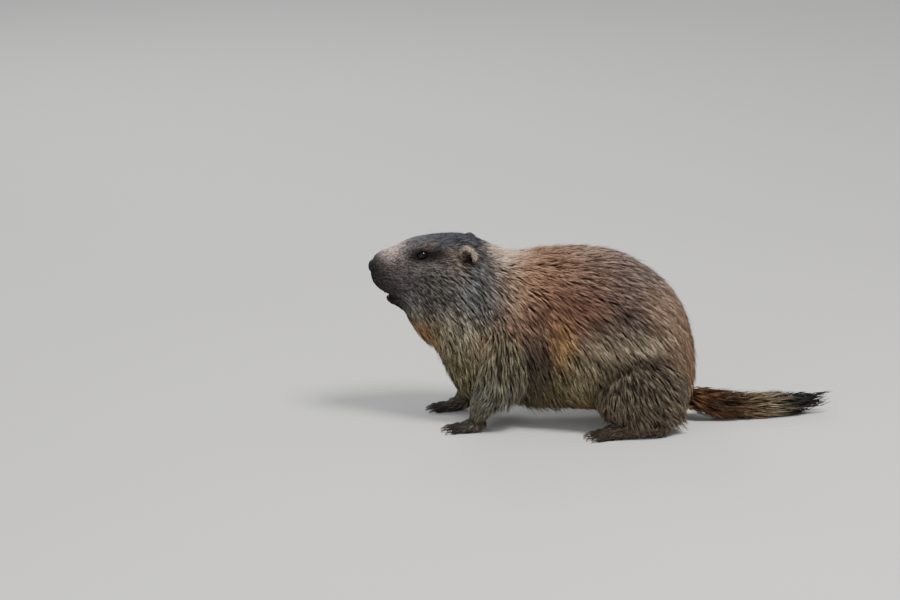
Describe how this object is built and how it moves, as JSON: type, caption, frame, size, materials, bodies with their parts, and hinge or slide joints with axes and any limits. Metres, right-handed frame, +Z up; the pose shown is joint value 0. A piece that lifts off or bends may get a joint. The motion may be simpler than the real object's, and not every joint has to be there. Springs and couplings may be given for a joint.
{
  "type": "alpine marmot",
  "caption": "Still, life-size alpine marmot on all fours with its head raised and its bushy tail laid out behind it.",
  "frame": {"origin": "on the ground under the middle of the whole animal, nose to tail tip", "axes": "-X is where the nose points, +X towards the tail, the left flank faces -Y, +Z is up"},
  "size_m": [0.5948, 0.2148, 0.2502],
  "materials": {
    "head_coat": "short dense fur, dark grey grizzled with pale tips, black nose and lips",
    "body_coat": "medium bristly fur, reddish and yellowish brown streaked with dark grey",
    "leg_coat": "short to medium fur, grey-brown, bare dark soles",
    "tail_coat": "long bushy fur, red-brown at the base and black at the tip",
    "ear_coat": "very short soft fur, tan",
    "eye": "wet gloss, nearly black",
    "tooth": "smooth orange enamel",
    "claw": "dark horn, half gloss"
  },
  "bodies": {
    "root": {"head": "head_coat", "neck": "body_coat", "torso": "body_coat", "tail": "tail_coat", "ear_left": "ear_coat", "ear_right": "ear_coat", "eye_left": "eye", "eye_right": "eye", "incisor_upper_left": "tooth", "incisor_upper_right": "tooth", "incisor_lower_left": "tooth", "incisor_lower_right": "tooth", "fore_leg_left": "leg_coat", "fore_paw_left": "leg_coat", "hind_leg_left": "leg_coat", "hind_foot_left": "leg_coat", "fore_leg_right": "leg_coat", "fore_paw_right": "leg_coat", "hind_leg_right": "leg_coat", "hind_foot_right": "leg_coat", "claw_fore_paw_left_inner": "claw", "claw_fore_paw_left_second": "claw", "claw_fore_paw_left_third": "claw", "claw_fore_paw_left_outer": "claw", "claw_hind_foot_left_first": "claw", "claw_hind_foot_left_second": "claw", "claw_hind_foot_left_third": "claw", "claw_hind_foot_left_fourth": "claw", "claw_hind_foot_left_fifth": "claw", "claw_fore_paw_right_inner": "claw", "claw_fore_paw_right_second": "claw", "claw_fore_paw_right_third": "claw", "claw_fore_paw_right_outer": "claw", "claw_hind_foot_right_first": "claw", "claw_hind_foot_right_second": "claw", "claw_hind_foot_right_third": "claw", "claw_hind_foot_right_fourth": "claw", "claw_hind_foot_right_fifth": "claw"}
  },
  "joints": []
}
